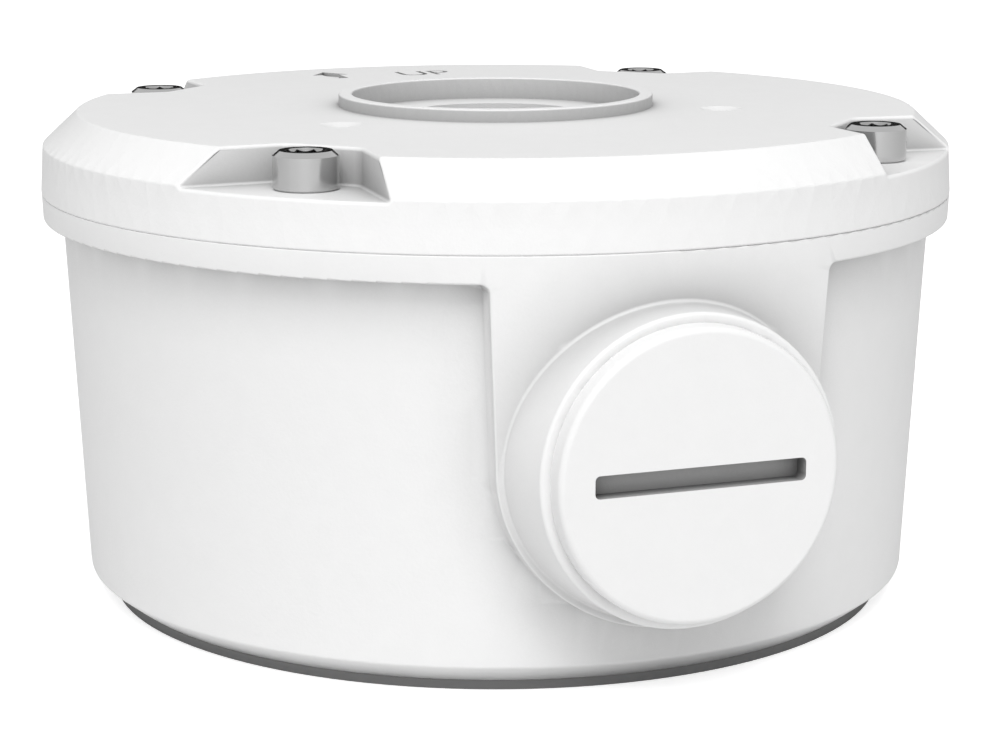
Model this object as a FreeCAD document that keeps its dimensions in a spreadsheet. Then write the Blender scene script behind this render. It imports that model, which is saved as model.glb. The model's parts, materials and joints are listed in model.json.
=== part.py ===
"""Round die-cast junction box for a surveillance camera.

Millimetres, +Z up. The origin is the centre of the gasket's underside, which lies on the wall or ceiling. The
conduit entry points along -Y, and the cover's arrow along +Y. The four cover screws stand at 45 degrees to both.
"""

import FreeCAD, Part
import math
import os
import Sketcher
from FreeCAD import Placement, Rotation, Vector

SIZES = {
    # Housing: a drafted cup with a flange, standing on a rubber gasket
    "flange_radius": 52.6,
    "rim_height": 47.0,
    "flange_thickness": 2.95,
    "flange_draft": 2.0,
    "flange_edge_round": 0.2,
    "wall_step": 2.22,
    "wall_draft": 2.72,
    "wall_thickness": 3.4,
    "foot_height": 3.2,
    "foot_bevel_width": 2.85,
    "foot_round": 0.5,
    "floor_thickness": 3.0,
    "gasket_thickness": 1.0,
    "gasket_overhang": 0.05,
    # Cavity, with a boss for each cover screw merged with the wall
    "cavity_draft": 1.0,
    "boss_land": 1.5,
    "boss_blend": 4.0,
    # Conduit entry: a pad flush with the flange, and a round boss on it
    "entry_top_gap": 2.7,
    "entry_bore_radius": 12.5,
    "entry_mouth_wall": 1.78,
    "entry_boss_projection": 3.22,
    "entry_boss_draft": 8.0,
    "entry_boss_fillet": 0.4,
    "entry_boss_round": 0.4,
    "pad_margin": 1.7,
    "pad_draft": 2.8,
    "pad_corner_round": 0.9,
    "pad_edge_round": 0.3,
    # Back of the housing: cable hole, wall screw holes and earth terminal
    "cable_hole_radius": 14.0,
    "wall_hole_radius": 2.5,
    "wall_hole_gap": 1.5,
    "earth_boss_gap": 5.0,
    "earth_boss_land": 0.7,
    "earth_boss_height": 5.0,
    # Seal between the housing and the cover
    "seal_inset": 3.5,
    "seal_screw_wall": 1.6,
    "seal_blend": 3.0,
    "seal_width": 2.0,
    "seal_height": 1.6,
    # Cover
    "cover_overhang": 0.05,
    "skirt_draft": 3.3,
    "shoulder_height": 5.38,
    "cover_height": 9.1,
    "cover_bevel_width": 4.0,
    "cover_plate": 3.0,
    "cover_edge_round": 0.4,
    "collar_radius": 18.3,
    "collar_wall": 1.55,
    "collar_height": 1.4,
    "collar_round": 0.2,
    "recess_depth": 1.1,
    "cover_hole_radius": 10.95,
    "mark_circle": 26.3,
    "mark_radius": 2.45,
    "mark_depth": 0.6,
    "arrow_side": 8.2,
    "arrow_edge_gap": 5.3,
    "arrow_length": 8.0,
    "arrow_head_length": 3.6,
    "arrow_head_width": 4.8,
    "arrow_shaft_width": 2.2,
    "arrow_depth": 0.45,
    # Screw notches in the cover, open through the chamfer
    "notch_floor": 5.08,
    "notch_back_gap": 0.3,
    "notch_side_gap": 0.88,
    "notch_flare": 42.0,
    "notch_corner": 1.8,
    "notch_root_round": 0.3,
    # M4 socket cap screws, held captive by a small rubber washer under the cover
    "screw_inset": 6.7,
    "screw_radius": 1.95,
    "screw_hole_clearance": 0.15,
    "screw_length": 16.0,
    "screw_head_radius": 3.42,
    "screw_head_height": 4.0,
    "screw_bevel_height": 0.5,
    "screw_bevel_width": 0.65,
    "screw_seat_bevel": 0.2,
    "screw_tip_bevel": 0.4,
    "screw_hole_spare": 3.0,
    "hex_flats": 3.0,
    "hex_depth": 2.2,
    "hex_lead": 0.35,
    "retainer_width": 1.4,
    "retainer_thickness": 1.4,
    "retainer_clearance": 0.1,
    # Conduit plug
    "plug_setback": 0.93,
    "plug_head_height": 3.18,
    "plug_head_round": 0.4,
    "plug_shank_clearance": 0.08,
    "plug_shank_length": 8.6,
    "plug_shank_wall": 2.2,
    "plug_tip_bevel": 0.6,
    "plug_slot_length": 22.8,
    "plug_slot_width": 2.35,
    "plug_slot_depth": 2.0,
    "plug_slot_corner": 0.5,
    "o_ring_section": 0.75,
    "o_ring_clearance": 0.05,
    "o_ring_side_gap": 0.33,
    "o_ring_end_gap": 0.1,
    # Earth screw and its toothed washer
    "earth_screw_radius": 1.95,
    "earth_tip_bevel": 0.4,
    "earth_head_radius": 3.9,
    "earth_head_height": 2.6,
    "earth_head_round": 1.4,
    "earth_slot_length": 4.2,
    "earth_slot_width": 0.9,
    "earth_slot_depth": 1.5,
    "earth_screw_length": 5.0,
    "earth_washer_overhang": 0.4,
    "earth_washer_thickness": 0.6,
    "earth_tooth_gap": 0.7,
    "earth_tooth_length": 1.1,
    # How far a cut or a pad runs past the surface that it meets
    "overrun": 5.0,
}

SCREW_COUNT = 4
MARK_COUNT = 3
WALL_HOLE_COUNT = 4
WASHER_TEETH = 10

doc = FreeCAD.newDocument("JunctionBox")
sheet = doc.addObject("Spreadsheet::Sheet", "Sizes")


class Size:
    """A length or angle with the formula that gives it from the sheet."""

    def __init__(self, value, formula):
        self.value = float(value)
        self.formula = formula

    def join(self, sign, other, value):
        return Size(value, f"({self.formula} {sign} {formula_of(other)})")

    def __add__(self, other):
        return self.join("+", other, self.value + value_of(other))

    def __sub__(self, other):
        return self.join("-", other, self.value - value_of(other))

    def __mul__(self, other):
        return self.join("*", other, self.value * value_of(other))

    def __truediv__(self, other):
        return self.join("/", other, self.value / value_of(other))


def value_of(length):
    return length.value if isinstance(length, Size) else float(length)


def formula_of(length):
    return length.formula if isinstance(length, Size) else repr(length)


def tangent(angle):
    """Tangent of an angle in degrees, as a bound ratio."""
    return Size(math.tan(math.radians(angle.value)), f"tan({angle.formula})")


def fill_sheet():
    """Write each driving dimension to its own aliased cell."""
    for row, (name, value) in enumerate(SIZES.items(), start=1):
        sheet.set(f"A{row}", name)
        sheet.set(f"B{row}", str(value))
        sheet.setAlias(f"B{row}", name)
    doc.recompute()


def size(name):
    return Size(SIZES[name], f"Sizes.{name}")


def bind(target, property_name, length):
    target.setExpression(property_name, formula_of(length))


def flange_under():
    """Height of the flange's underside."""
    return size("rim_height") - size("flange_thickness")


def under_radius():
    """Radius of the flange's lower edge, where its draft ends and the pad's begins."""
    return size("flange_radius") - size("flange_thickness") * tangent(size("flange_draft"))


def wall_top_radius():
    return under_radius() - size("wall_step")


def wall_foot_radius():
    return wall_top_radius() - (flange_under() - size("foot_height")) * tangent(size("wall_draft"))


def foot_radius():
    return wall_foot_radius() - size("foot_bevel_width")


def cavity_radius():
    return wall_top_radius() - size("wall_thickness")


def screw_circle():
    return size("flange_radius") - size("screw_inset")


def screw_hole_radius():
    return size("screw_radius") + size("screw_hole_clearance")


def seal_radius():
    return size("flange_radius") - size("seal_inset")


def seal_lobe_radius():
    """Radius of the seal's centre line round a cover screw."""
    return screw_hole_radius() + size("seal_screw_wall") + size("seal_width") / 2


def boss_radius():
    """Radius of a cover screw's boss, which carries the seal round the screw."""
    return seal_lobe_radius() + size("seal_width") / 2 + size("boss_land")


def plug_shank_radius():
    return size("entry_bore_radius") - size("plug_shank_clearance")


def o_ring_depth():
    return size("o_ring_section") + size("o_ring_clearance")


def entry_mouth_radius():
    """Radius of the counterbore that holds the plug's O-ring."""
    return plug_shank_radius() + o_ring_depth() + size("o_ring_section") + size("o_ring_side_gap")


def entry_boss_radius():
    return entry_mouth_radius() + size("entry_mouth_wall")


def entry_boss_reach():
    return size("flange_radius") + size("entry_boss_projection")


def entry_height():
    return flange_under() - size("entry_top_gap") - entry_boss_radius()


def earth_washer_radius():
    return size("earth_head_radius") + size("earth_washer_overhang")


def earth_boss_radius():
    return earth_washer_radius() + size("earth_boss_land")


def earth_boss_circle():
    return size("cable_hole_radius") + size("earth_boss_gap") + earth_boss_radius()


def wall_hole_circle():
    return earth_boss_circle() + earth_boss_radius() + size("wall_hole_gap") + size("wall_hole_radius")


def notch_back():
    return screw_circle() - size("screw_head_radius") - size("notch_back_gap")


def cover_radius():
    return size("flange_radius") + size("cover_overhang")


def skirt_radius(rise):
    """Radius of the cover's drafted skirt at a rise above the rim."""
    return cover_radius() - rise * tangent(size("skirt_draft"))


def cover_face_radius():
    return skirt_radius(size("shoulder_height")) - size("cover_bevel_width")


def new_body(name):
    body = doc.addObject("PartDesign::Body", name)
    body.Label = name
    return body


def new_sketch(body, name, role="XY_Plane", lift=None):
    """Sketch on one of the body's own planes, lifted along the plane's normal."""
    sketch = body.newObject("Sketcher::SketchObject", name)
    plane = [feature for feature in body.Origin.OriginFeatures if feature.Role == role][0]
    sketch.AttachmentSupport = [(plane, "")]
    sketch.MapMode = "FlatFace"
    if lift is not None:
        sketch.AttachmentOffset = Placement(Vector(0, 0, lift.value), Rotation())
        bind(sketch, "AttachmentOffset.Base.z", lift)
    return sketch


def pin_point(sketch, geometry, end, x, y):
    """Fix one point of a sketch at bound distances from the sketch's origin."""
    for kind, distance in (("DistanceX", x), ("DistanceY", y)):
        if value_of(distance) == 0.0 and not isinstance(distance, Size):
            axis = -2 if kind == "DistanceX" else -1
            sketch.addConstraint(Sketcher.Constraint("PointOnObject", geometry, end, axis))
            continue
        index = sketch.addConstraint(Sketcher.Constraint(kind, -1, 1, geometry, end, value_of(distance)))
        sketch.setExpression(f"Constraints[{index}]", formula_of(distance))


def draw_polygon(sketch, corners):
    """Closed outline of straight edges through bound corners."""
    points = [Vector(value_of(x), value_of(y), 0) for x, y in corners]
    edges = [Part.LineSegment(a, b) for a, b in zip(points, points[1:] + points[:1])]
    first = sketch.addGeometry(edges[0], False)
    for edge in edges[1:]:
        sketch.addGeometry(edge, False)
    count = len(edges)
    for i in range(count):
        sketch.addConstraint(Sketcher.Constraint("Coincident", first + i, 2, first + (i + 1) % count, 1))
    for i, (x, y) in enumerate(corners):
        pin_point(sketch, first + i, 1, x, y)


def draw_circle(sketch, x, y, radius):
    circle = Part.Circle(Vector(value_of(x), value_of(y), 0), Vector(0, 0, 1), radius.value)
    index = sketch.addGeometry(circle, False)
    if value_of(x) == 0.0 and value_of(y) == 0.0:
        sketch.addConstraint(Sketcher.Constraint("Coincident", index, 3, -1, 1))
    else:
        pin_point(sketch, index, 3, x, y)
    constraint = sketch.addConstraint(Sketcher.Constraint("Radius", index, radius.value))
    sketch.setExpression(f"Constraints[{constraint}]", radius.formula)


def draw_lobed_loop(sketch, ring, lobe, blend):
    """Ring that turns inwards round each cover screw.

    Four large arcs are joined to four lobe arcs, centred on the screws, by tangent blend arcs.
    """
    reach = screw_circle().value
    screw_side = screw_circle() * diagonal()
    inside = ring.value - blend.value
    outside = lobe.value + blend.value
    turn = math.acos((inside**2 + reach**2 - outside**2) / (2 * inside * reach))

    def arc(centre, radius, start, end):
        circle = Part.Circle(centre, Vector(0, 0, 1), radius)
        return sketch.addGeometry(Part.ArcOfCircle(circle, start, end), False)

    def fix_radius(index, radius):
        constraint = sketch.addConstraint(Sketcher.Constraint("Radius", index, radius.value))
        sketch.setExpression(f"Constraints[{constraint}]", radius.formula)

    def polar(radius, angle):
        return Vector(radius * math.cos(angle), radius * math.sin(angle), 0)

    quarter = math.pi / 2
    chain = []
    for corner in range(SCREW_COUNT):
        toward = quarter * corner + quarter / 2
        screw = polar(reach, toward)
        before = polar(inside, toward - turn)
        after = polar(inside, toward + turn)
        to_before = math.atan2(before.y - screw.y, before.x - screw.x)
        to_after = math.atan2(after.y - screw.y, after.x - screw.x)
        enter = arc(before, blend.value, toward - turn, to_before + math.pi)
        around = arc(screw, lobe.value, to_after, to_before)
        leave = arc(after, blend.value, to_after - math.pi, toward + turn)
        large = arc(Vector(0, 0, 0), ring.value, toward + turn, toward + quarter - turn)
        sketch.addConstraint(Sketcher.Constraint("Coincident", large, 3, -1, 1))
        side_x = screw_side if screw.x > 0 else screw_side * -1
        side_y = screw_side if screw.y > 0 else screw_side * -1
        pin_point(sketch, around, 3, side_x, side_y)
        fix_radius(enter, blend)
        fix_radius(around, lobe)
        fix_radius(leave, blend)
        fix_radius(large, ring)
        chain += [(enter, 1, 2), (around, 2, 1), (leave, 1, 2), (large, 1, 2)]
    for (this, _, end), (following, start, _) in zip(chain, chain[1:] + chain[:1]):
        sketch.addConstraint(Sketcher.Constraint("Tangent", this, end, following, start))


def diagonal():
    """Cosine of 45 degrees, which gives a screw's place along X and Y."""
    return Size(math.cos(math.radians(45)), "cos(45)")


def pad(body, sketch, name, length, reverse=False):
    feature = body.newObject("PartDesign::Pad", name)
    feature.Profile = sketch
    feature.Reversed = reverse
    bind(feature, "Length", length)
    return feature


def pocket(body, sketch, name, length, reverse=False):
    feature = body.newObject("PartDesign::Pocket", name)
    feature.Profile = sketch
    feature.Reversed = reverse
    bind(feature, "Length", length)
    return feature


def turn(body, sketch, name, kind="PartDesign::Revolution"):
    """Full turn of a sketch about its own vertical axis."""
    feature = body.newObject(kind, name)
    feature.Profile = sketch
    feature.ReferenceAxis = (sketch, ["V_Axis"])
    feature.Angle = 360.0
    return feature


def repeat(body, features, name, count):
    """Copies of features round the body's Z axis."""
    pattern = body.newObject("PartDesign::PolarPattern", name)
    pattern.Originals = features
    axis = [feature for feature in body.Origin.OriginFeatures if feature.Role == "Z_Axis"][0]
    pattern.Axis = (axis, [""])
    pattern.Angle = 360.0
    pattern.Occurrences = count
    body.Tip = pattern
    return pattern


def dress(body, kind, name, base, picks, amount):
    """Fillet or chamfer on the edges of the base that a test picks."""
    doc.recompute()
    names = [f"Edge{i}" for i, edge in enumerate(base.Shape.Edges, start=1) if picks(edge)]
    feature = body.newObject(kind, name)
    feature.Base = (base, names)
    bind(feature, "Radius" if kind == "PartDesign::Fillet" else "Size", amount)
    body.Tip = feature
    return feature


def is_ring(edge, radius, height):
    """True for a round edge about the Z axis, whole or in part, at this radius and height."""
    curve = edge.Curve
    if not isinstance(curve, Part.Circle):
        return False
    off_axis = math.hypot(curve.Center.x, curve.Center.y)
    return (
        off_axis < 1e-4
        and abs(curve.Center.z - value_of(height)) < 1e-3
        and abs(curve.Radius - value_of(radius)) < 1e-3
    )


def build_housing():
    body = new_body("housing")
    base = size("gasket_thickness")
    cup = new_sketch(body, "HousingProfile", "XZ_Plane")
    draw_polygon(cup, [
        (0, base),
        (foot_radius(), base),
        (wall_foot_radius(), size("foot_height")),
        (wall_top_radius(), flange_under()),
        (under_radius(), flange_under()),
        (size("flange_radius"), size("rim_height")),
        (0, size("rim_height")),
    ])
    turn(body, cup, "HousingBlank")
    add_entry_pad(body)
    round_entry_pad(body)
    boss = new_sketch(body, "EntryBossOutline", "XZ_Plane", entry_boss_reach())
    draw_circle(boss, 0, entry_height(), entry_boss_radius())
    depth = size("entry_boss_projection") + size("wall_step") + size("wall_thickness")
    entry_boss = pad(body, boss, "EntryBoss", depth, reverse=True)
    bind(entry_boss, "TaperAngle", size("entry_boss_draft"))
    round_housing(body, entry_boss)
    cut_cavity(body)
    cut_seal_groove(body)
    cut_entry_bore(body)
    cut_back_holes(body)
    cut_cover_screw_holes(body)
    add_earth_boss(body)
    return body


def add_entry_pad(body):
    """Tombstone pad round the conduit entry, flush with the flange and drafted with the wall."""
    outline = new_sketch(body, "EntryPadOutline", "XZ_Plane")
    half = entry_boss_radius() + size("pad_margin")
    centre = entry_height()
    under = flange_under()
    spread = half + (under - centre) * tangent(size("pad_draft"))
    left_top = Vector(-spread.value, under.value, 0)
    right_top = Vector(spread.value, under.value, 0)
    left = Vector(-half.value, centre.value, 0)
    right = Vector(half.value, centre.value, 0)
    circle = Part.Circle(Vector(0, centre.value, 0), Vector(0, 0, 1), half.value)
    top = outline.addGeometry(Part.LineSegment(left_top, right_top), False)
    side_right = outline.addGeometry(Part.LineSegment(right_top, right), False)
    arc = outline.addGeometry(Part.ArcOfCircle(circle, math.pi, 2 * math.pi), False)
    side_left = outline.addGeometry(Part.LineSegment(left, left_top), False)
    joins = [(top, 2, side_right, 1), (side_right, 2, arc, 2), (arc, 1, side_left, 1), (side_left, 2, top, 1)]
    for first, first_end, second, second_end in joins:
        outline.addConstraint(Sketcher.Constraint("Coincident", first, first_end, second, second_end))
    pin_point(outline, top, 1, spread * -1, under)
    pin_point(outline, top, 2, spread, under)
    pin_point(outline, arc, 1, half * -1, centre)
    pin_point(outline, arc, 2, half, centre)
    outline.addConstraint(Sketcher.Constraint("DistanceY", -1, 1, arc, 3, centre.value))
    outline.setExpression(f"Constraints[{outline.ConstraintCount - 1}]", centre.formula)
    pad(body, outline, "EntryPad", size("flange_radius") + size("overrun"))

    trim = new_sketch(body, "EntryPadTrim", "XZ_Plane")
    base = size("gasket_thickness")
    beyond = size("flange_radius") + size("overrun") * 2
    draw_polygon(trim, [
        (under_radius(), under),
        (under_radius() - (under - base) * tangent(size("pad_draft")), base),
        (beyond, base),
        (beyond, under),
    ])
    turn(body, trim, "EntryPadFace", "PartDesign::Groove")


def round_entry_pad(body):
    """Rounded outline of the recessed wall: pad sides, pad end and the flange's lower edge in one line."""
    slope = tangent(size("pad_draft")).value
    under = flange_under().value
    radius = under_radius().value
    centre = entry_height().value

    def at_pad_corner(edge):
        ends = [vertex.Point for vertex in edge.Vertexes]
        level = all(abs(point.z - under) < 1e-3 and point.y < 0 for point in ends)
        return level and is_straight(edge) and abs(ends[0].x - ends[1].x) < 1e-3

    def on_pad_face(edge):
        first, last = edge.FirstParameter, edge.LastParameter
        samples = [edge.valueAt(first + share * (last - first)) for share in (0.0, 0.25, 0.5, 0.75, 1.0)]
        if abs(samples[2].x) < 1 and samples[2].z > centre:
            return False
        return all(
            abs(math.hypot(point.x, point.y) - radius + (under - point.z) * slope) < 1e-3
            and point.z < under + 1e-3
            for point in samples
        )

    corners = dress(
        body, "PartDesign::Fillet", "EntryPadCorners", body.Tip, at_pad_corner, size("pad_corner_round"),
    )
    return dress(body, "PartDesign::Fillet", "EntryPadEdges", corners, on_pad_face, size("pad_edge_round"))


def round_housing(body, base):
    """Soft edges of the casting: flange, foot, boss root and boss lip."""
    reach = entry_boss_reach().value
    radius = entry_boss_radius().value
    height = entry_height().value
    slope = tangent(size("entry_boss_draft")).value

    def at_boss_lip(edge):
        curve = edge.Curve
        return isinstance(curve, Part.Circle) and abs(curve.Center.y + reach) < 1e-3

    def on_boss_flank(point):
        return abs(math.hypot(point.x, point.z - height) - radius - (reach + point.y) * slope) < 1e-3

    def at_boss_root(edge):
        box = edge.BoundBox
        on_flank = all(on_boss_flank(vertex.Point) for vertex in edge.Vertexes)
        return on_flank and box.YMin > -reach + 0.5 and box.YMax - box.YMin > 0.5 and not is_straight(edge)

    base = dress(body, "PartDesign::Fillet", "EntryBossRoot", base, at_boss_root, size("entry_boss_fillet"))
    base = dress(body, "PartDesign::Fillet", "EntryBossLip", base, at_boss_lip, size("entry_boss_round"))
    base = dress(
        body, "PartDesign::Fillet", "FlangeEdge", base,
        lambda edge: is_ring(edge, size("flange_radius"), size("rim_height")), size("flange_edge_round"),
    )
    return dress(
        body, "PartDesign::Fillet", "FootCorner", base,
        lambda edge: is_ring(edge, wall_foot_radius(), size("foot_height")), size("foot_round"),
    )


def is_straight(edge):
    return isinstance(edge.Curve, Part.Line)


def cut_cavity(body):
    outline = new_sketch(body, "CavityOutline", "XY_Plane", size("rim_height"))
    draw_lobed_loop(outline, cavity_radius(), boss_radius(), size("boss_blend"))
    depth = size("rim_height") - size("gasket_thickness") - size("floor_thickness")
    cavity = pocket(body, outline, "Cavity", depth)
    bind(cavity, "TaperAngle", size("cavity_draft") * -1)


def draw_seal_band(sketch):
    """Both edges of the seal, half its width to each side of its centre line."""
    half = size("seal_width") / 2
    draw_lobed_loop(sketch, seal_radius() + half, seal_lobe_radius() - half, size("seal_blend") + half)
    draw_lobed_loop(sketch, seal_radius() - half, seal_lobe_radius() + half, size("seal_blend") - half)


def cut_seal_groove(body):
    outline = new_sketch(body, "SealGrooveOutline", "XY_Plane", size("rim_height"))
    draw_seal_band(outline)
    pocket(body, outline, "SealGroove", size("seal_height"))


def cut_entry_bore(body):
    bore = new_sketch(body, "EntryBoreOutline", "XZ_Plane")
    draw_circle(bore, 0, entry_height(), size("entry_bore_radius"))
    pocket(body, bore, "EntryBore", entry_boss_reach() + size("overrun"), reverse=True)
    mouth = new_sketch(body, "EntryMouthOutline", "XZ_Plane", entry_boss_reach())
    draw_circle(mouth, 0, entry_height(), entry_mouth_radius())
    pocket(body, mouth, "EntryMouth", o_ring_depth() * 2 + size("o_ring_end_gap"))


def cut_back_holes(body):
    """Cable hole and wall screw holes through the floor."""
    through = size("gasket_thickness") + size("floor_thickness") + size("overrun")
    centre = new_sketch(body, "CableHoleOutline")
    draw_circle(centre, 0, 0, size("cable_hole_radius"))
    pocket(body, centre, "CableHole", through, reverse=True)
    wall = new_sketch(body, "WallHoleOutline")
    draw_circle(wall, 0, wall_hole_circle(), size("wall_hole_radius"))
    hole = pocket(body, wall, "WallHole", through, reverse=True)
    repeat(body, [hole], "WallHoles", WALL_HOLE_COUNT)


def cut_cover_screw_holes(body):
    outline = new_sketch(body, "CoverScrewHoleOutline", "XY_Plane", size("rim_height"))
    side = screw_circle() * diagonal()
    draw_circle(outline, side, side, screw_hole_radius())
    depth = size("screw_length") - size("notch_floor") + size("screw_hole_spare")
    hole = pocket(body, outline, "CoverScrewHole", depth)
    repeat(body, [hole], "CoverScrewHoles", SCREW_COUNT)


def earth_place():
    """Place of the earth terminal on the floor, beside the conduit entry."""
    return earth_boss_circle(), size("gasket_thickness") + size("floor_thickness")


def add_earth_boss(body):
    x, floor = earth_place()
    outline = new_sketch(body, "EarthBossOutline", "XY_Plane", floor)
    draw_circle(outline, x, 0, earth_boss_radius())
    draw_circle(outline, x, 0, size("earth_screw_radius") + size("screw_hole_clearance"))
    body.Tip = pad(body, outline, "EarthBoss", size("earth_boss_height"))


def build_base_gasket():
    body = new_body("base_gasket")
    outline = new_sketch(body, "GasketOutline")
    draw_circle(outline, 0, 0, foot_radius() + size("gasket_overhang"))
    draw_circle(outline, 0, 0, size("cable_hole_radius"))
    pad(body, outline, "GasketSheet", size("gasket_thickness"))
    wall = new_sketch(body, "GasketHoleOutline")
    draw_circle(wall, 0, wall_hole_circle(), size("wall_hole_radius"))
    hole = pocket(body, wall, "GasketHole", size("gasket_thickness"), reverse=True)
    repeat(body, [hole], "GasketHoles", WALL_HOLE_COUNT)
    return body


def build_cover_seal():
    body = new_body("cover_seal")
    floor = size("rim_height") - size("seal_height")
    outline = new_sketch(body, "SealOutline", "XY_Plane", floor)
    draw_seal_band(outline)
    pad(body, outline, "SealRing", size("seal_height"))
    return body


def build_cover():
    body = new_body("cover")
    rim = size("rim_height")
    shoulder = rim + size("shoulder_height")
    face = rim + size("cover_height")
    collar = size("collar_radius")
    collar_top = face + size("collar_height")
    web_top = face - size("recess_depth")
    profile = new_sketch(body, "CoverProfile", "XZ_Plane")
    draw_polygon(profile, [
        (size("cover_hole_radius"), rim),
        (cover_radius(), rim),
        (skirt_radius(size("shoulder_height")), shoulder),
        (cover_face_radius(), face),
        (collar, face),
        (collar, collar_top),
        (collar - size("collar_wall"), collar_top),
        (collar - size("collar_wall"), web_top),
        (size("cover_hole_radius"), web_top),
    ])
    base = turn(body, profile, "CoverBlank")
    base = dress(
        body, "PartDesign::Fillet", "CollarEdges", base,
        lambda edge: is_ring(edge, collar, collar_top)
        or is_ring(edge, collar - size("collar_wall"), collar_top),
        size("collar_round"),
    )
    dress(
        body, "PartDesign::Fillet", "CoverRimEdge", base,
        lambda edge: is_ring(edge, cover_radius(), rim), size("flange_edge_round"),
    )
    cut_notches(body)
    round_cover(body, shoulder, face)
    cut_cover_underside(body)
    cut_cover_screw_seats(body)
    cut_marks(body, face)
    return body


def cut_notches(body):
    """Four flared notches round the screw heads, open through the chamfer."""
    floor = size("rim_height") + size("notch_floor")
    outline = new_sketch(body, "NotchOutline", "XY_Plane", floor)
    back = notch_back()
    half = size("screw_head_radius") + size("notch_side_gap")
    beyond = size("flange_radius") + size("overrun")
    spread = half + (beyond - back) * tangent(size("notch_flare"))
    corners = [(back, half), (beyond, spread), (beyond, spread * -1), (back, half * -1)]
    draw_polygon(outline, [((out - across) * diagonal(), (out + across) * diagonal()) for out, across in corners])
    notch = pocket(body, outline, "Notch", size("cover_height"), reverse=True)
    notches = repeat(body, [notch], "Notches", SCREW_COUNT)

    def at_back_corner(edge):
        middle = edge.CenterOfMass
        near_screw = math.hypot(middle.x, middle.y) < screw_circle().value
        return is_straight(edge) and is_upright(edge) and near_screw and middle.z > floor.value

    dress(body, "PartDesign::Fillet", "NotchCorners", notches, at_back_corner, size("notch_corner"))


def round_cover(body, shoulder, face):
    """Soft edges that the paint leaves on the chamfer and round the notches."""
    floor = SIZES["rim_height"] + SIZES["notch_floor"]

    def at_notch_root(edge):
        middle = edge.CenterOfMass
        level = all(abs(vertex.Z - floor) < 1e-3 for vertex in edge.Vertexes)
        return level and abs(middle.z - floor) < 1e-3 and not on_rim(edge)

    def on_rim(edge):
        return is_ring(edge, skirt_radius(size("notch_floor")), floor)

    dress(body, "PartDesign::Fillet", "NotchRoots", body.Tip, at_notch_root, size("notch_root_round"))

    def at_outer_edge(edge):
        ends = [vertex.Point for vertex in edge.Vertexes]
        middle = edge.valueAt((edge.FirstParameter + edge.LastParameter) / 2)
        radius = math.hypot(middle.x, middle.y)
        on_seam = is_straight(edge) and abs(ends[0].y) < 1e-6 and abs(ends[-1].y) < 1e-6
        if on_seam:
            return False
        at_shoulder = is_ring(edge, skirt_radius(size("shoulder_height")), shoulder)
        if on_rim(edge) or at_shoulder or is_ring(edge, cover_face_radius(), face):
            return True
        in_notch = radius > notch_back().value - SIZES["notch_corner"]
        return in_notch and middle.z > floor + SIZES["notch_root_round"] and not is_upright(edge)

    dress(body, "PartDesign::Fillet", "CoverEdges", body.Tip, at_outer_edge, size("cover_edge_round"))


def is_upright(edge):
    first, last = edge.Vertexes[0].Point, edge.Vertexes[-1].Point
    return math.hypot(first.x - last.x, first.y - last.y) < 1e-6


def cut_cover_underside(body):
    """Hollow between the screw bosses, with the plate left above it."""
    outline = new_sketch(body, "CoverHollowOutline", "XY_Plane", size("rim_height"))
    draw_lobed_loop(outline, cavity_radius(), boss_radius(), size("boss_blend"))
    pocket(body, outline, "CoverHollow", size("cover_height") - size("cover_plate"), reverse=True)


def cut_cover_screw_seats(body):
    """Clearance hole for each screw, with a counterbore below for its retainer."""
    side = screw_circle() * diagonal()
    bore = new_sketch(body, "CoverScrewHoleOutline", "XY_Plane", size("rim_height"))
    draw_circle(bore, side, side, screw_hole_radius())
    hole = pocket(body, bore, "CoverScrewHole", size("cover_height"), reverse=True)
    seat = new_sketch(body, "RetainerSeatOutline", "XY_Plane", size("rim_height"))
    draw_circle(seat, side, side, retainer_outer_radius() + size("retainer_clearance"))
    counterbore = pocket(body, seat, "RetainerSeat", retainer_seat_depth(), reverse=True)
    repeat(body, [hole, counterbore], "ScrewSeats", SCREW_COUNT)


def retainer_seat_depth():
    return size("retainer_thickness") + size("retainer_clearance")


def retainer_outer_radius():
    return size("screw_radius") + size("retainer_clearance") + size("retainer_width")


def cut_marks(body, face):
    """Centre marks for a camera's own screws, and the arrow that shows which way is up."""
    profile = new_sketch(body, "MarkProfile", "YZ_Plane")
    circle = size("mark_circle")
    radius = size("mark_radius")
    draw_polygon(profile, [
        (circle, face - size("mark_depth")),
        (circle + radius, face),
        (circle + radius, face + size("collar_height")),
        (circle, face + size("collar_height")),
    ])
    mark = body.newObject("PartDesign::Groove", "Mark")
    mark.Profile = profile
    mark.ReferenceAxis = (profile, ["Edge4"])
    mark.Angle = 360.0
    repeat(body, [mark], "Marks", MARK_COUNT)

    outline = new_sketch(body, "ArrowOutline", "XY_Plane", face)
    centre = size("arrow_side") * -1
    tip = cover_face_radius() - size("arrow_edge_gap")
    base = tip - size("arrow_length")
    neck = tip - size("arrow_head_length")
    shaft = size("arrow_shaft_width") / 2
    head = size("arrow_head_width") / 2
    draw_polygon(outline, [
        (centre - shaft, base),
        (centre + shaft, base),
        (centre + shaft, neck),
        (centre + head, neck),
        (centre, tip),
        (centre - head, neck),
        (centre - shaft, neck),
    ])
    body.Tip = pocket(body, outline, "Arrow", size("arrow_depth"))


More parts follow.
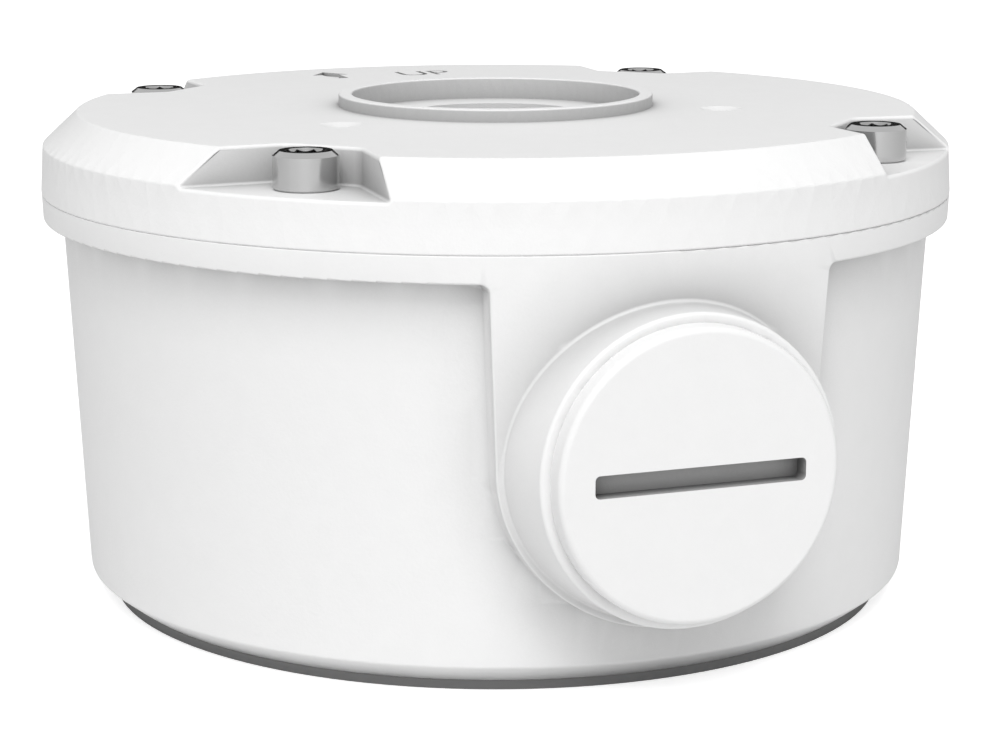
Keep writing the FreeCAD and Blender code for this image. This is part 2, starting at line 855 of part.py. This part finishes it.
def build_cover_screws():
    """Socket cap screws, each with a bevelled head and a hexagon socket."""
    body = new_body("cover_screws")
    body.AllowCompound = True
    seat = size("rim_height") + size("notch_floor")
    head_top = seat + size("screw_head_height")
    head_radius = size("screw_head_radius")
    axis = screw_circle()
    profile = new_sketch(body, "ScrewProfile", "XZ_Plane")
    draw_polygon(profile, [
        (axis, seat - size("screw_length")),
        (axis + size("screw_radius") - size("screw_tip_bevel"), seat - size("screw_length")),
        (axis + size("screw_radius"), seat - size("screw_length") + size("screw_tip_bevel")),
        (axis + size("screw_radius"), seat),
        (axis + head_radius - size("screw_seat_bevel"), seat),
        (axis + head_radius, seat + size("screw_seat_bevel")),
        (axis + head_radius, head_top - size("screw_bevel_height")),
        (axis + head_radius - size("screw_bevel_width"), head_top),
        (axis, head_top),
    ])
    blank = body.newObject("PartDesign::Revolution", "ScrewBlank")
    blank.Profile = profile
    blank.ReferenceAxis = (profile, ["Edge9"])
    blank.Angle = 360.0
    socket = new_sketch(body, "SocketOutline", "XY_Plane", head_top)
    draw_hexagon(socket, axis, size("hex_flats"))
    hexagon = pocket(body, socket, "Socket", size("hex_depth"))
    lead = new_sketch(body, "SocketLeadOutline", "XZ_Plane")
    lead_radius = size("hex_flats") / 2 + size("hex_lead")
    draw_polygon(lead, [
        (axis, head_top - size("hex_lead")),
        (axis + size("hex_flats") / 2, head_top - size("hex_lead")),
        (axis + lead_radius, head_top),
        (axis, head_top),
    ])
    bevel = body.newObject("PartDesign::Groove", "SocketLead")
    bevel.Profile = lead
    bevel.ReferenceAxis = (lead, ["Edge4"])
    bevel.Angle = 360.0
    repeat(body, [blank, hexagon, bevel], "Screws", SCREW_COUNT)
    turn_body(body, 45)
    return body


def turn_body(body, angle):
    """Turn a finished ring of pieces about the Z axis."""
    body.Placement = Placement(Vector(), Rotation(Vector(0, 0, 1), angle))


def draw_hexagon(sketch, x, flats):
    corner = flats / Size(2 * math.cos(math.radians(30)), "(2 * cos(30))")
    half_side = corner / 2
    flat = flats / 2
    draw_polygon(sketch, [
        (x + corner, 0),
        (x + half_side, flat),
        (x - half_side, flat),
        (x - corner, 0),
        (x - half_side, flat * -1),
        (x + half_side, flat * -1),
    ])


def build_screw_retainers():
    """Small rubber washers in the cover's counterbores, one round each screw."""
    body = new_body("screw_retainers")
    body.AllowCompound = True
    axis = screw_circle()
    inner = axis + size("screw_radius") + size("retainer_clearance")
    outer = inner + size("retainer_width")
    bottom = size("rim_height") + size("retainer_clearance")
    top = bottom + size("retainer_thickness")
    profile = new_sketch(body, "RetainerProfile", "XZ_Plane")
    draw_polygon(profile, [(inner, bottom), (outer, bottom), (outer, top), (inner, top)])
    ends = Vector(axis.value, 0, 0), Vector(axis.value, bottom.value, 0)
    centre_line = profile.addGeometry(Part.LineSegment(*ends), True)
    pin_point(profile, centre_line, 1, axis, 0)
    pin_point(profile, centre_line, 2, axis, bottom)
    washer = body.newObject("PartDesign::Revolution", "Retainer")
    washer.Profile = profile
    washer.ReferenceAxis = (profile, ["Axis0"])
    washer.Angle = 360.0
    repeat(body, [washer], "Retainers", SCREW_COUNT)
    turn_body(body, 45)
    return body


def place_at_entry(body):
    """Stand a piece that was turned about +Z in the conduit entry, with +Z pointing out along -Y."""
    place = Vector(0, -entry_boss_reach().value, entry_height().value)
    body.Placement = Placement(place, Rotation(Vector(1, 0, 0), 90))
    bind(body, "Placement.Base.y", entry_boss_reach() * -1)
    bind(body, "Placement.Base.z", entry_height())


def build_conduit_plug():
    """Hollow plug with a coin slot, seated on the entry boss."""
    body = new_body("conduit_plug")
    shank = plug_shank_radius()
    head = entry_boss_radius() - size("plug_setback")
    bore = shank - size("plug_shank_wall")
    profile = new_sketch(body, "PlugProfile", "XZ_Plane")
    length = size("plug_shank_length")
    draw_polygon(profile, [
        (0, 0),
        (bore, 0),
        (bore, length * -1),
        (shank - size("plug_tip_bevel"), length * -1),
        (shank, size("plug_tip_bevel") - length),
        (shank, 0),
        (head, 0),
        (head, size("plug_head_height")),
        (0, size("plug_head_height")),
    ])
    base = turn(body, profile, "PlugBlank")
    dress(
        body, "PartDesign::Fillet", "PlugFaceEdge", base,
        lambda edge: is_ring(edge, head, size("plug_head_height")), size("plug_head_round"),
    )
    outline = new_sketch(body, "PlugSlotOutline", "XY_Plane", size("plug_head_height"))
    half_length = size("plug_slot_length") / 2
    half_width = size("plug_slot_width") / 2
    draw_polygon(outline, [
        (half_length, half_width),
        (half_length * -1, half_width),
        (half_length * -1, half_width * -1),
        (half_length, half_width * -1),
    ])
    slot = pocket(body, outline, "PlugSlot", size("plug_slot_depth"))
    floor = SIZES["plug_head_height"] - SIZES["plug_slot_depth"]

    def at_slot_corner(edge):
        middle = edge.CenterOfMass
        return is_upright(edge) and is_straight(edge) and middle.z > floor and abs(middle.y) < SIZES["plug_slot_width"]

    dress(body, "PartDesign::Fillet", "PlugSlotCorners", slot, at_slot_corner, size("plug_slot_corner"))
    place_at_entry(body)
    return body


def build_plug_o_ring():
    """O-ring round the plug's shank, in the mouth of the entry."""
    ring = doc.addObject("Part::Torus", "plug_o_ring")
    ring.Label = "plug_o_ring"
    bind(ring, "Radius1", plug_shank_radius() + size("o_ring_clearance") + size("o_ring_section"))
    bind(ring, "Radius2", size("o_ring_section"))
    depth = o_ring_depth() - entry_boss_reach()
    ring.Placement = Placement(Vector(0, depth.value, entry_height().value), Rotation(Vector(1, 0, 0), 90))
    bind(ring, "Placement.Base.y", depth)
    bind(ring, "Placement.Base.z", entry_height())
    return ring


def build_earth_screw():
    """Pan head screw with a cross slot, in the earth boss."""
    body = new_body("earth_screw")
    x, floor = earth_place()
    washer_top = floor + size("earth_boss_height") + size("earth_washer_thickness")
    radius = size("earth_screw_radius")
    head = size("earth_head_radius")
    profile = new_sketch(body, "EarthScrewProfile", "XZ_Plane")
    tip = size("earth_tip_bevel") - size("earth_screw_length")
    draw_polygon(profile, [
        (0, size("earth_screw_length") * -1),
        (radius - size("earth_tip_bevel"), size("earth_screw_length") * -1),
        (radius, tip),
        (radius, 0),
        (head, 0),
        (head, size("earth_head_height")),
        (0, size("earth_head_height")),
    ])
    base = turn(body, profile, "EarthScrewBlank")
    dress(
        body, "PartDesign::Fillet", "EarthScrewDome", base,
        lambda edge: is_ring(edge, head, size("earth_head_height")), size("earth_head_round"),
    )
    outline = new_sketch(body, "EarthSlotOutline", "XY_Plane", size("earth_head_height"))
    arm = size("earth_slot_length") / 2
    half = size("earth_slot_width") / 2
    draw_polygon(outline, [
        (arm, half), (half, half), (half, arm), (half * -1, arm), (half * -1, half), (arm * -1, half),
        (arm * -1, half * -1), (half * -1, half * -1), (half * -1, arm * -1), (half, arm * -1),
        (half, half * -1), (arm, half * -1),
    ])
    pocket(body, outline, "EarthSlot", size("earth_slot_depth"))
    stand_on_earth_boss(body, x, washer_top)
    return body


def stand_on_earth_boss(body, x, height):
    body.Placement = Placement(Vector(x.value, 0, height.value), Rotation())
    bind(body, "Placement.Base.x", x)
    bind(body, "Placement.Base.z", height)


def build_earth_washer():
    """Toothed lock washer under the earth screw's head."""
    body = new_body("earth_washer")
    x, floor = earth_place()
    outline = new_sketch(body, "WasherOutline")
    draw_circle(outline, 0, 0, earth_washer_radius())
    draw_circle(outline, 0, 0, size("earth_screw_radius") + size("screw_hole_clearance"))
    pad(body, outline, "WasherDisc", size("earth_washer_thickness"))
    gap = new_sketch(body, "WasherGapOutline")
    half = size("earth_tooth_gap") / 2
    inner = earth_washer_radius() - size("earth_tooth_length")
    outer = earth_washer_radius() + size("overrun")
    draw_polygon(gap, [(inner, half * -1), (outer, half * -1), (outer, half), (inner, half)])
    tooth_gap = pocket(body, gap, "WasherGap", size("earth_washer_thickness"), reverse=True)
    repeat(body, [tooth_gap], "WasherTeeth", WASHER_TEETH)
    stand_on_earth_boss(body, x, floor + size("earth_boss_height"))
    return body


def check_and_write(bodies):
    doc.recompute()
    for thing in doc.Objects:
        state = " ".join(thing.State)
        if "Invalid" in state or "Error" in state:
            raise RuntimeError(f"{thing.Name} failed: {state}")
    os.makedirs("parts", exist_ok=True)
    for body in bodies:
        shape = body.Shape
        if shape.isNull() or not shape.isValid():
            raise RuntimeError(f"{body.Label} has no valid shape")
        shape.exportStep(f"parts/{body.Label}.step")
        print(body.Label, len(shape.Solids), "solids", round(shape.Volume, 1), "mm3")


fill_sheet()
check_and_write([
    build_housing(),
    build_base_gasket(),
    build_cover_seal(),
    build_cover(),
    build_cover_screws(),
    build_screw_retainers(),
    build_conduit_plug(),
    build_plug_o_ring(),
    build_earth_screw(),
    build_earth_washer(),
])
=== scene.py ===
"""Looks of a white powder coated camera junction box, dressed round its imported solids.

Metres, in the part's own frame: +Z away from the wall, conduit entry along -Y, cover's arrow along +Y.
"""

import json
import math
import bmesh
import bpy
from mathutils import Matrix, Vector


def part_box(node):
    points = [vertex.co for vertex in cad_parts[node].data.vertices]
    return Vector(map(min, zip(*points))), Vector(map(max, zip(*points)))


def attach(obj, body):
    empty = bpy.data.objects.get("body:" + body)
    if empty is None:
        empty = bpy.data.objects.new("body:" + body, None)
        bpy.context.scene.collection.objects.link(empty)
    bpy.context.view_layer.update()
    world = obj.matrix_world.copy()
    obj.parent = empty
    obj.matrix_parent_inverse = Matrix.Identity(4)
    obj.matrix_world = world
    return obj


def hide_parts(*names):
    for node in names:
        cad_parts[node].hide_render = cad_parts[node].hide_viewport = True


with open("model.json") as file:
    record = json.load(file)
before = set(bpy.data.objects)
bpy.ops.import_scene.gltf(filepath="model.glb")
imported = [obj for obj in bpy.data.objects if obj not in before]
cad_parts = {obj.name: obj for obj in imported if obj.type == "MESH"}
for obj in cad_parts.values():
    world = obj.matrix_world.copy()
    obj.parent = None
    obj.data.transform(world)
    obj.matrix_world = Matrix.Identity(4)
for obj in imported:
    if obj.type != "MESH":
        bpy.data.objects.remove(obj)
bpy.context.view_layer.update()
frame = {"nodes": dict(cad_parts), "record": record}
nodes = frame["nodes"]

MM = 0.001


def deselect_all():
    bpy.ops.object.select_all(action="DESELECT")


def activate(piece):
    """Make one object the only selected and active one."""
    deselect_all()
    piece.select_set(True)
    bpy.context.view_layer.objects.active = piece


def settle(piece):
    """Move a finished piece's place, turn and scale into its mesh."""
    activate(piece)
    bpy.ops.object.transform_apply(location=True, rotation=True, scale=True)


deselect_all()

# Materials


def linear(code):
    """Linear RGBA of an sRGB hex colour."""
    channels = [int(code[i:i + 2], 16) / 255 for i in (1, 3, 5)]
    return [c / 12.92 if c <= 0.04045 else ((c + 0.055) / 1.055) ** 2.4 for c in channels] + [1.0]


def add_node(tree, kind, settings=None, links=None):
    """Add a node, set its properties and sockets, and link its inputs from other nodes' sockets."""
    node = tree.nodes.new(kind)
    for name, value in (settings or {}).items():
        if isinstance(name, str) and name in node.bl_rna.properties:
            setattr(node, name, value)
        else:
            node.inputs[name].default_value = value
    for name, source in (links or {}).items():
        tree.links.new(source, node.inputs[name])
    return node


def new_material(name):
    material = bpy.data.materials.new(name)
    material.use_nodes = True
    material.node_tree.nodes.clear()
    return material


def finish_material(material, shader):
    output = material.node_tree.nodes.new("ShaderNodeOutputMaterial")
    material.node_tree.links.new(shader.outputs[0], output.inputs["Surface"])
    return material


POWDER_GRAIN = 0.42 * MM
POWDER_MOTTLE = 2.6 * MM
CORNER_SHADE_REACH = 9 * MM
TURNING_GRAIN = 0.8 * MM
TURNING_SQUEEZE = 12.0
SOCKET_SHADE_REACH = 4 * MM
GASKET_GRAIN = 0.5 * MM
SEAL_GRAIN = 0.4 * MM
GRAIN_RELIEF = 0.03 * MM
CORNER_SAMPLES = 12


def powder_coat():
    """White polyester powder coat on die-cast aluminium, sprayed and baked.

    The melt leaves a fine even grain that breaks up the highlights, and no direction. Shade is painted into
    the coat's colour, which deepens a little where surfaces close in on each other.
    """
    material = new_material("powder_coat")
    tree = material.node_tree
    place = add_node(tree, "ShaderNodeTexCoord").outputs["Object"]
    grain = add_node(
        tree, "ShaderNodeTexNoise", {"Scale": 1 / POWDER_GRAIN, "Detail": 2.0, "Roughness": 0.55},
        {"Vector": place},
    ).outputs["Fac"]
    mottle = add_node(
        tree, "ShaderNodeTexNoise", {"Scale": 1 / POWDER_MOTTLE, "Detail": 2.0}, {"Vector": place},
    ).outputs["Fac"]
    tone = add_node(tree, "ShaderNodeValToRGB", {}, {"Fac": mottle})
    tone.color_ramp.elements[0].color = linear("#e8e8e8")
    tone.color_ramp.elements[1].color = linear("#ebebeb")
    # Painted shade: the AO node darkens the coat's colour in corners and crevices.
    painted_corner_shade = add_node(
        tree, "ShaderNodeAmbientOcclusion",
        {"samples": CORNER_SAMPLES, "only_local": True, "Distance": CORNER_SHADE_REACH},
        {"Color": tone.outputs["Color"]},
    )
    relief = add_node(tree, "ShaderNodeBump", {"Strength": 0.7, "Distance": GRAIN_RELIEF}, {"Height": grain})
    sheen = add_node(tree, "ShaderNodeMapRange", {"To Min": 0.44, "To Max": 0.54}, {"Value": grain})
    shader = add_node(
        tree, "ShaderNodeBsdfPrincipled", {"IOR": 1.5},
        {
            "Base Color": painted_corner_shade.outputs["Color"], "Roughness": sheen.outputs["Result"],
            "Normal": relief.outputs["Normal"],
        },
    )
    return finish_material(material, shader)


def turned_stainless():
    """Stainless steel screw, cold headed and turned, bright with a faint turning grain.

    The hex socket traps the light, and that shade deep inside it is painted into the steel's colour.
    """
    material = new_material("turned_stainless")
    tree = material.node_tree
    place = add_node(tree, "ShaderNodeTexCoord").outputs["Object"]
    lay = add_node(tree, "ShaderNodeMapping", {"Scale": (1.0, 1.0, TURNING_SQUEEZE)}, {"Vector": place})
    grain = add_node(
        tree, "ShaderNodeTexNoise", {"Scale": 1 / TURNING_GRAIN, "Detail": 3.0},
        {"Vector": lay.outputs["Vector"]},
    )
    rough = add_node(
        tree, "ShaderNodeMapRange", {"To Min": 0.13, "To Max": 0.22}, {"Value": grain.outputs["Fac"]},
    )
    # Painted shade: the AO node darkens the steel's colour deep inside the hex socket.
    socket = add_node(
        tree, "ShaderNodeAmbientOcclusion",
        {
            "samples": CORNER_SAMPLES, "only_local": True, "Distance": SOCKET_SHADE_REACH,
            "Color": linear("#c4c4c4"),
        },
    )
    shader = add_node(
        tree, "ShaderNodeBsdfPrincipled", {"Metallic": 1.0},
        {"Base Color": socket.outputs["Color"], "Roughness": rough.outputs["Result"]},
    )
    return finish_material(material, shader)


def moulded_rubber(name, colour, grain_size):
    """Rubber pressed in a matt mould, with a fine dull grain."""
    material = new_material(name)
    tree = material.node_tree
    place = add_node(tree, "ShaderNodeTexCoord").outputs["Object"]
    grain = add_node(
        tree, "ShaderNodeTexNoise", {"Scale": 1 / grain_size, "Detail": 3.0}, {"Vector": place},
    )
    relief = add_node(
        tree, "ShaderNodeBump", {"Strength": 0.3, "Distance": GRAIN_RELIEF}, {"Height": grain.outputs["Fac"]},
    )
    shader = add_node(
        tree, "ShaderNodeBsdfPrincipled", {"Base Color": linear(colour), "Roughness": 0.78},
        {"Normal": relief.outputs["Normal"]},
    )
    return finish_material(material, shader)


FINISHES = {
    "powder_coat": powder_coat(),
    "screw_steel": turned_stainless(),
    "gasket_rubber": moulded_rubber("gasket_rubber", "#7c7c7c", GASKET_GRAIN),
    "seal_rubber": moulded_rubber("seal_rubber", "#262626", SEAL_GRAIN),
}


def dress_cad_nodes():
    """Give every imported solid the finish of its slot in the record."""
    for subpart in frame["record"]["subparts"]:
        node = nodes[subpart["node"]]
        node.data.materials.clear()
        node.data.materials.append(FINISHES[subpart["material_slot"]])


dress_cad_nodes()

# Castings

MERGE_DISTANCE = 0.001 * MM


def start_editing(piece):
    """Edit one piece by its vertices, with nothing selected, and return its edit mesh."""
    activate(piece)
    bpy.ops.object.mode_set(mode="EDIT")
    bpy.ops.mesh.select_mode(type="VERT")
    bpy.ops.mesh.select_all(action="DESELECT")
    return bmesh.from_edit_mesh(piece.data)


def select_vertices(piece, wanted):
    """Edit a piece with only the vertices selected whose place passes a test."""
    mesh = start_editing(piece)
    for vertex in mesh.verts:
        vertex.select = wanted(vertex.co)
    mesh.select_flush(True)
    bmesh.update_edit_mesh(piece.data)


def select_edges(piece, wanted):
    """Edit a piece with only the edges selected whose two ends pass a test."""
    mesh = start_editing(piece)
    for edge in mesh.edges:
        edge.select = wanted(edge.verts[0].co, edge.verts[1].co)
    bmesh.update_edit_mesh(piece.data)


def finish_editing():
    bpy.ops.object.mode_set(mode="OBJECT")
    deselect_all()


def cut_with(piece, tool, operation="DIFFERENCE"):
    """Cut a tool out of a piece, or join it on, and use the tool up."""
    cutter = piece.modifiers.new("cut", "BOOLEAN")
    cutter.operation = operation
    cutter.solver = "EXACT"
    cutter.object = tool
    activate(piece)
    bpy.ops.object.modifier_apply(modifier=cutter.name)
    bpy.data.objects.remove(tool)


def copy_casting(node, name, body):
    """Copy of a packed casting with its facets joined, to be shaped further and shown in its place."""
    casting = nodes[node].copy()
    casting.data = nodes[node].data.copy()
    casting.name = name
    bpy.context.collection.objects.link(casting)
    select_vertices(casting, lambda point: True)
    bpy.ops.mesh.remove_doubles(threshold=MERGE_DISTANCE)
    finish_editing()
    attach(casting, body)
    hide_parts(node)
    return casting


def keep_facets(casting):
    """Show a casting by its own facets, which are fine enough for its rounds."""
    activate(casting)
    bpy.ops.object.shade_flat()
    deselect_all()


FLAT_FACE_WEIGHT = 80


def shade(piece, crease_degrees):
    """Smooth shading over the rounds, with flat faces kept flat and real edges left crisp."""
    activate(piece)
    bpy.ops.object.shade_smooth_by_angle(angle=math.radians(crease_degrees))
    weighting = piece.modifiers.new("flat_faces", "WEIGHTED_NORMAL")
    weighting.mode = "FACE_AREA"
    weighting.weight = FLAT_FACE_WEIGHT
    weighting.keep_sharp = True
    bpy.ops.object.modifier_apply(modifier=weighting.name)
    deselect_all()


ENTRY_HEIGHT = 25.27 * MM
CAD_LIP_REACH = 55.82 * MM
LIP_REACH = 56.65 * MM
LIP_BAND = 0.45 * MM
LIP_SPREAD = 16.2 / 16.08
HOUSING_CREASE = 50


def shape_housing():
    """Housing whose conduit boss ends a little further out and wider, as the boss under the plug shows."""
    housing = copy_casting("housing", "housing_casting", "housing")
    select_vertices(housing, lambda point: point.y < -CAD_LIP_REACH + LIP_BAND)
    bpy.ops.transform.translate(value=(0, CAD_LIP_REACH - LIP_REACH, 0))
    bpy.ops.transform.resize(
        value=(LIP_SPREAD, 1, LIP_SPREAD), center_override=(0, -LIP_REACH, ENTRY_HEIGHT),
    )
    finish_editing()
    shade(housing, HOUSING_CREASE)


COLLAR_RISE = 1.4 * MM
LETTERS_PLACE = (3.9 * MM, 37.5 * MM)
LETTERS_WIDTH = 6.9 * MM
LETTER_HEIGHT = 4.7 * MM
LETTER_DEPTH = 0.45 * MM


def add_letters():
    """UP as a solid that stands half in the cover's face and half above it."""
    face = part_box("cover")[1][2] - COLLAR_RISE
    bpy.ops.object.text_add(location=(0, 0, 0))
    letters = bpy.context.active_object
    letters.data.body = "UP"
    letters.data.align_x = "CENTER"
    letters.data.align_y = "CENTER"
    letters.data.extrude = 1.0
    bpy.ops.object.convert(target="MESH")
    letters = bpy.context.active_object
    width, height, depth = letters.dimensions
    letters.scale = (LETTERS_WIDTH / width, LETTER_HEIGHT / height, 2 * LETTER_DEPTH / depth)
    settle(letters)
    letters.location = (*LETTERS_PLACE, face)
    settle(letters)
    return letters


def shape_cover():
    """Cover with the letters cut in beside its arrow."""
    cover = copy_casting("cover", "cover_casting", "cover")
    cut_with(cover, add_letters())
    keep_facets(cover)


PLUG_RADIUS = 15.2 * MM
PLUG_FACE_RADIUS = 15.15 * MM
PLUG_FACE_REACH = 59.0 * MM
PLUG_EDGE_ROUND = 0.65 * MM
PLUG_FACE_BAND = 0.01 * MM
PLUG_SHANK_RADIUS = 12.42 * MM
PLUG_SHANK_REACH = 47.3 * MM
PLUG_BORE_RADIUS = 10.2 * MM
PLUG_CREASE = 32
SHANK_IN_HEAD = 0.3 * MM
BORE_OVERRUN = 1 * MM
BORE_STOP = 0.8 * MM
SLOT_LENGTH = 22.8 * MM
SLOT_WIDTH = 2.35 * MM
SLOT_DEPTH = 2.0 * MM
SLOT_CORNER = 0.5 * MM
HEAD_SIDES = 160
SHANK_SIDES = 96


def add_entry_cylinder(name, radius, near, far, sides):
    """Cylinder on the conduit entry's axis, from one reach along -Y to another."""
    bpy.ops.mesh.primitive_cylinder_add(
        vertices=sides, radius=radius, depth=far - near,
        location=(0, -(near + far) / 2, ENTRY_HEIGHT), rotation=(math.radians(90), 0, 0),
    )
    cylinder = bpy.context.active_object
    cylinder.name = name
    settle(cylinder)
    return cylinder


def add_slot_cutter():
    """Block of the coin slot, with its long edges rounded as a cutter leaves them."""
    bpy.ops.mesh.primitive_cube_add(size=1, location=(0, -PLUG_FACE_REACH, ENTRY_HEIGHT))
    slot = bpy.context.active_object
    slot.scale = (SLOT_LENGTH, 2 * SLOT_DEPTH, SLOT_WIDTH)
    settle(slot)
    select_edges(slot, lambda first, last: abs(first.y - last.y) > SLOT_DEPTH)
    bpy.ops.mesh.bevel(offset=SLOT_CORNER, segments=4, affect="EDGES")
    finish_editing()
    return slot


def on_plug_face(*points):
    return all(point.y < -PLUG_FACE_REACH + PLUG_FACE_BAND for point in points)


def shape_plug():
    """Plug head with slightly drafted sides, a rounded edge and a coin slot, on a hollow shank."""
    plug = add_entry_cylinder("plug_casting", PLUG_RADIUS, LIP_REACH, PLUG_FACE_REACH, HEAD_SIDES)
    select_vertices(plug, on_plug_face)
    draft = PLUG_FACE_RADIUS / PLUG_RADIUS
    bpy.ops.transform.resize(
        value=(draft, 1, draft), center_override=(0, -PLUG_FACE_REACH, ENTRY_HEIGHT),
    )
    finish_editing()
    select_edges(plug, on_plug_face)
    bpy.ops.mesh.bevel(offset=PLUG_EDGE_ROUND, segments=6, affect="EDGES")
    finish_editing()
    shank = add_entry_cylinder(
        "shank", PLUG_SHANK_RADIUS, PLUG_SHANK_REACH, LIP_REACH + SHANK_IN_HEAD, SHANK_SIDES,
    )
    cut_with(plug, shank, "UNION")
    bore = add_entry_cylinder(
        "bore", PLUG_BORE_RADIUS, PLUG_SHANK_REACH - BORE_OVERRUN, LIP_REACH - BORE_STOP, SHANK_SIDES,
    )
    cut_with(plug, bore)
    cut_with(plug, add_slot_cutter())
    plug.data.materials.clear()
    plug.data.materials.append(FINISHES["powder_coat"])
    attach(plug, "plug")
    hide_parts("conduit_plug")
    shade(plug, PLUG_CREASE)


shape_housing()
shape_cover()
shape_plug()

# Stage, light and camera

FLOOR_SPAN = 12
FLOOR_GLOW = 0.64
WORLD_LIGHT = 0.63
FLAG_PLACE = (0, 0.9, 0.22)
FLAG_WIDTH = 1.7
FLAG_HEIGHT = 0.42
BOX_CENTRE = (0, 0, 0.03)
SOFTBOX_SIDE = 1.0
SOFTBOXES = (
    ("left_softbox", (-0.9, -1.25, 0.6), 0.6),
    ("front_softbox", (0.0, -1.5, 0.35), 2.0),
    ("top_front_softbox", (0, -0.9, 1.4), 19.1),
)
VIEW_HEADING = math.radians(20.242)
VIEW_FALL = math.radians(90 - 12.211)
CAMERA_PLACE = (0, -0.306276, 0.090004)
CAMERA_LENS = 94.469
CAMERA_SHIFT = 0.0045


def from_view(right, away, up):
    """Point given as the camera sees it: to the right, away from the camera and up from the box's origin."""
    cos, sin = math.cos(VIEW_HEADING), math.sin(VIEW_HEADING)
    return Vector((right * cos + away * sin, -right * sin + away * cos, up))


def add_floor():
    """White floor that keeps a soft shadow, and glows for the camera alone."""
    bpy.ops.mesh.primitive_plane_add(size=FLOOR_SPAN, location=(0, 0, 0))
    floor = bpy.context.active_object
    floor.name = "studio_floor"
    material = new_material("studio_white")
    tree = material.node_tree
    seen = add_node(tree, "ShaderNodeLightPath").outputs["Is Camera Ray"]
    level = add_node(tree, "ShaderNodeMath", {"operation": "MULTIPLY", 1: FLOOR_GLOW}, {0: seen})
    glow = add_node(tree, "ShaderNodeEmission", {"Color": (1, 1, 1, 1)}, {"Strength": level.outputs[0]})
    paint = add_node(tree, "ShaderNodeBsdfDiffuse", {"Color": linear("#e6e6e6")})
    both = add_node(tree, "ShaderNodeAddShader", {}, {0: paint.outputs[0], 1: glow.outputs[0]})
    floor.data.materials.append(finish_material(material, both))


def add_world():
    """Even white light from all round, and plain white where the camera or a gloss sees the background."""
    world = bpy.data.worlds.new("studio")
    bpy.context.scene.world = world
    world.use_nodes = True
    tree = world.node_tree
    tree.nodes.clear()
    path = add_node(tree, "ShaderNodeLightPath").outputs
    seen = add_node(
        tree, "ShaderNodeMath", {"operation": "MAXIMUM"},
        {0: path["Is Camera Ray"], 1: path["Is Glossy Ray"]},
    )
    light = add_node(tree, "ShaderNodeBackground", {"Strength": WORLD_LIGHT})
    backdrop = add_node(tree, "ShaderNodeBackground", {"Strength": 1.0})
    mix = add_node(
        tree, "ShaderNodeMixShader", {},
        {"Fac": seen.outputs[0], 1: light.outputs[0], 2: backdrop.outputs[0]},
    )
    output = add_node(tree, "ShaderNodeOutputWorld", {}, {"Surface": mix.outputs[0]})
    output.is_active_output = True


def add_dark_flag():
    """Black card behind the box, seen only in gloss, which gives the screws their dark tops."""
    bpy.ops.mesh.primitive_plane_add(size=1, location=from_view(*FLAG_PLACE))
    flag = bpy.context.active_object
    flag.name = "dark_flag"
    flag.scale = (FLAG_WIDTH, FLAG_HEIGHT, 1)
    flag.rotation_euler = (math.radians(90), 0, -VIEW_HEADING)
    material = new_material("flag_black")
    card = add_node(material.node_tree, "ShaderNodeBsdfDiffuse", {"Color": linear("#060606")})
    flag.data.materials.append(finish_material(material, card))
    flag.visible_camera = False
    flag.visible_diffuse = False
    flag.visible_shadow = False


def add_softbox(name, place, power):
    """Square lamp that faces the box."""
    bpy.ops.object.light_add(type="AREA", location=place)
    lamp = bpy.context.active_object
    lamp.name = name
    lamp.data.shape = "RECTANGLE"
    lamp.data.size = SOFTBOX_SIDE
    lamp.data.size_y = SOFTBOX_SIDE
    lamp.data.energy = power
    lamp.rotation_euler = (Vector(BOX_CENTRE) - place).to_track_quat("-Z", "Y").to_euler()


def add_camera():
    """Camera at the place, heading and pitch worked out from the photograph's rim, plug and screws."""
    bpy.ops.object.camera_add(location=from_view(*CAMERA_PLACE))
    camera = bpy.context.active_object
    camera.name = "photo_camera"
    camera.rotation_euler = (VIEW_FALL, 0, -VIEW_HEADING)
    camera.data.sensor_width = 36
    camera.data.lens = CAMERA_LENS
    camera.data.shift_x = CAMERA_SHIFT
    camera.data.clip_start = 0.01
    bpy.context.scene.camera = camera


add_floor()
add_world()
add_dark_flag()
for name, place, power in SOFTBOXES:
    add_softbox(name, from_view(*place), power)
add_camera()

view = bpy.context.scene.view_settings
view.view_transform = "Standard"
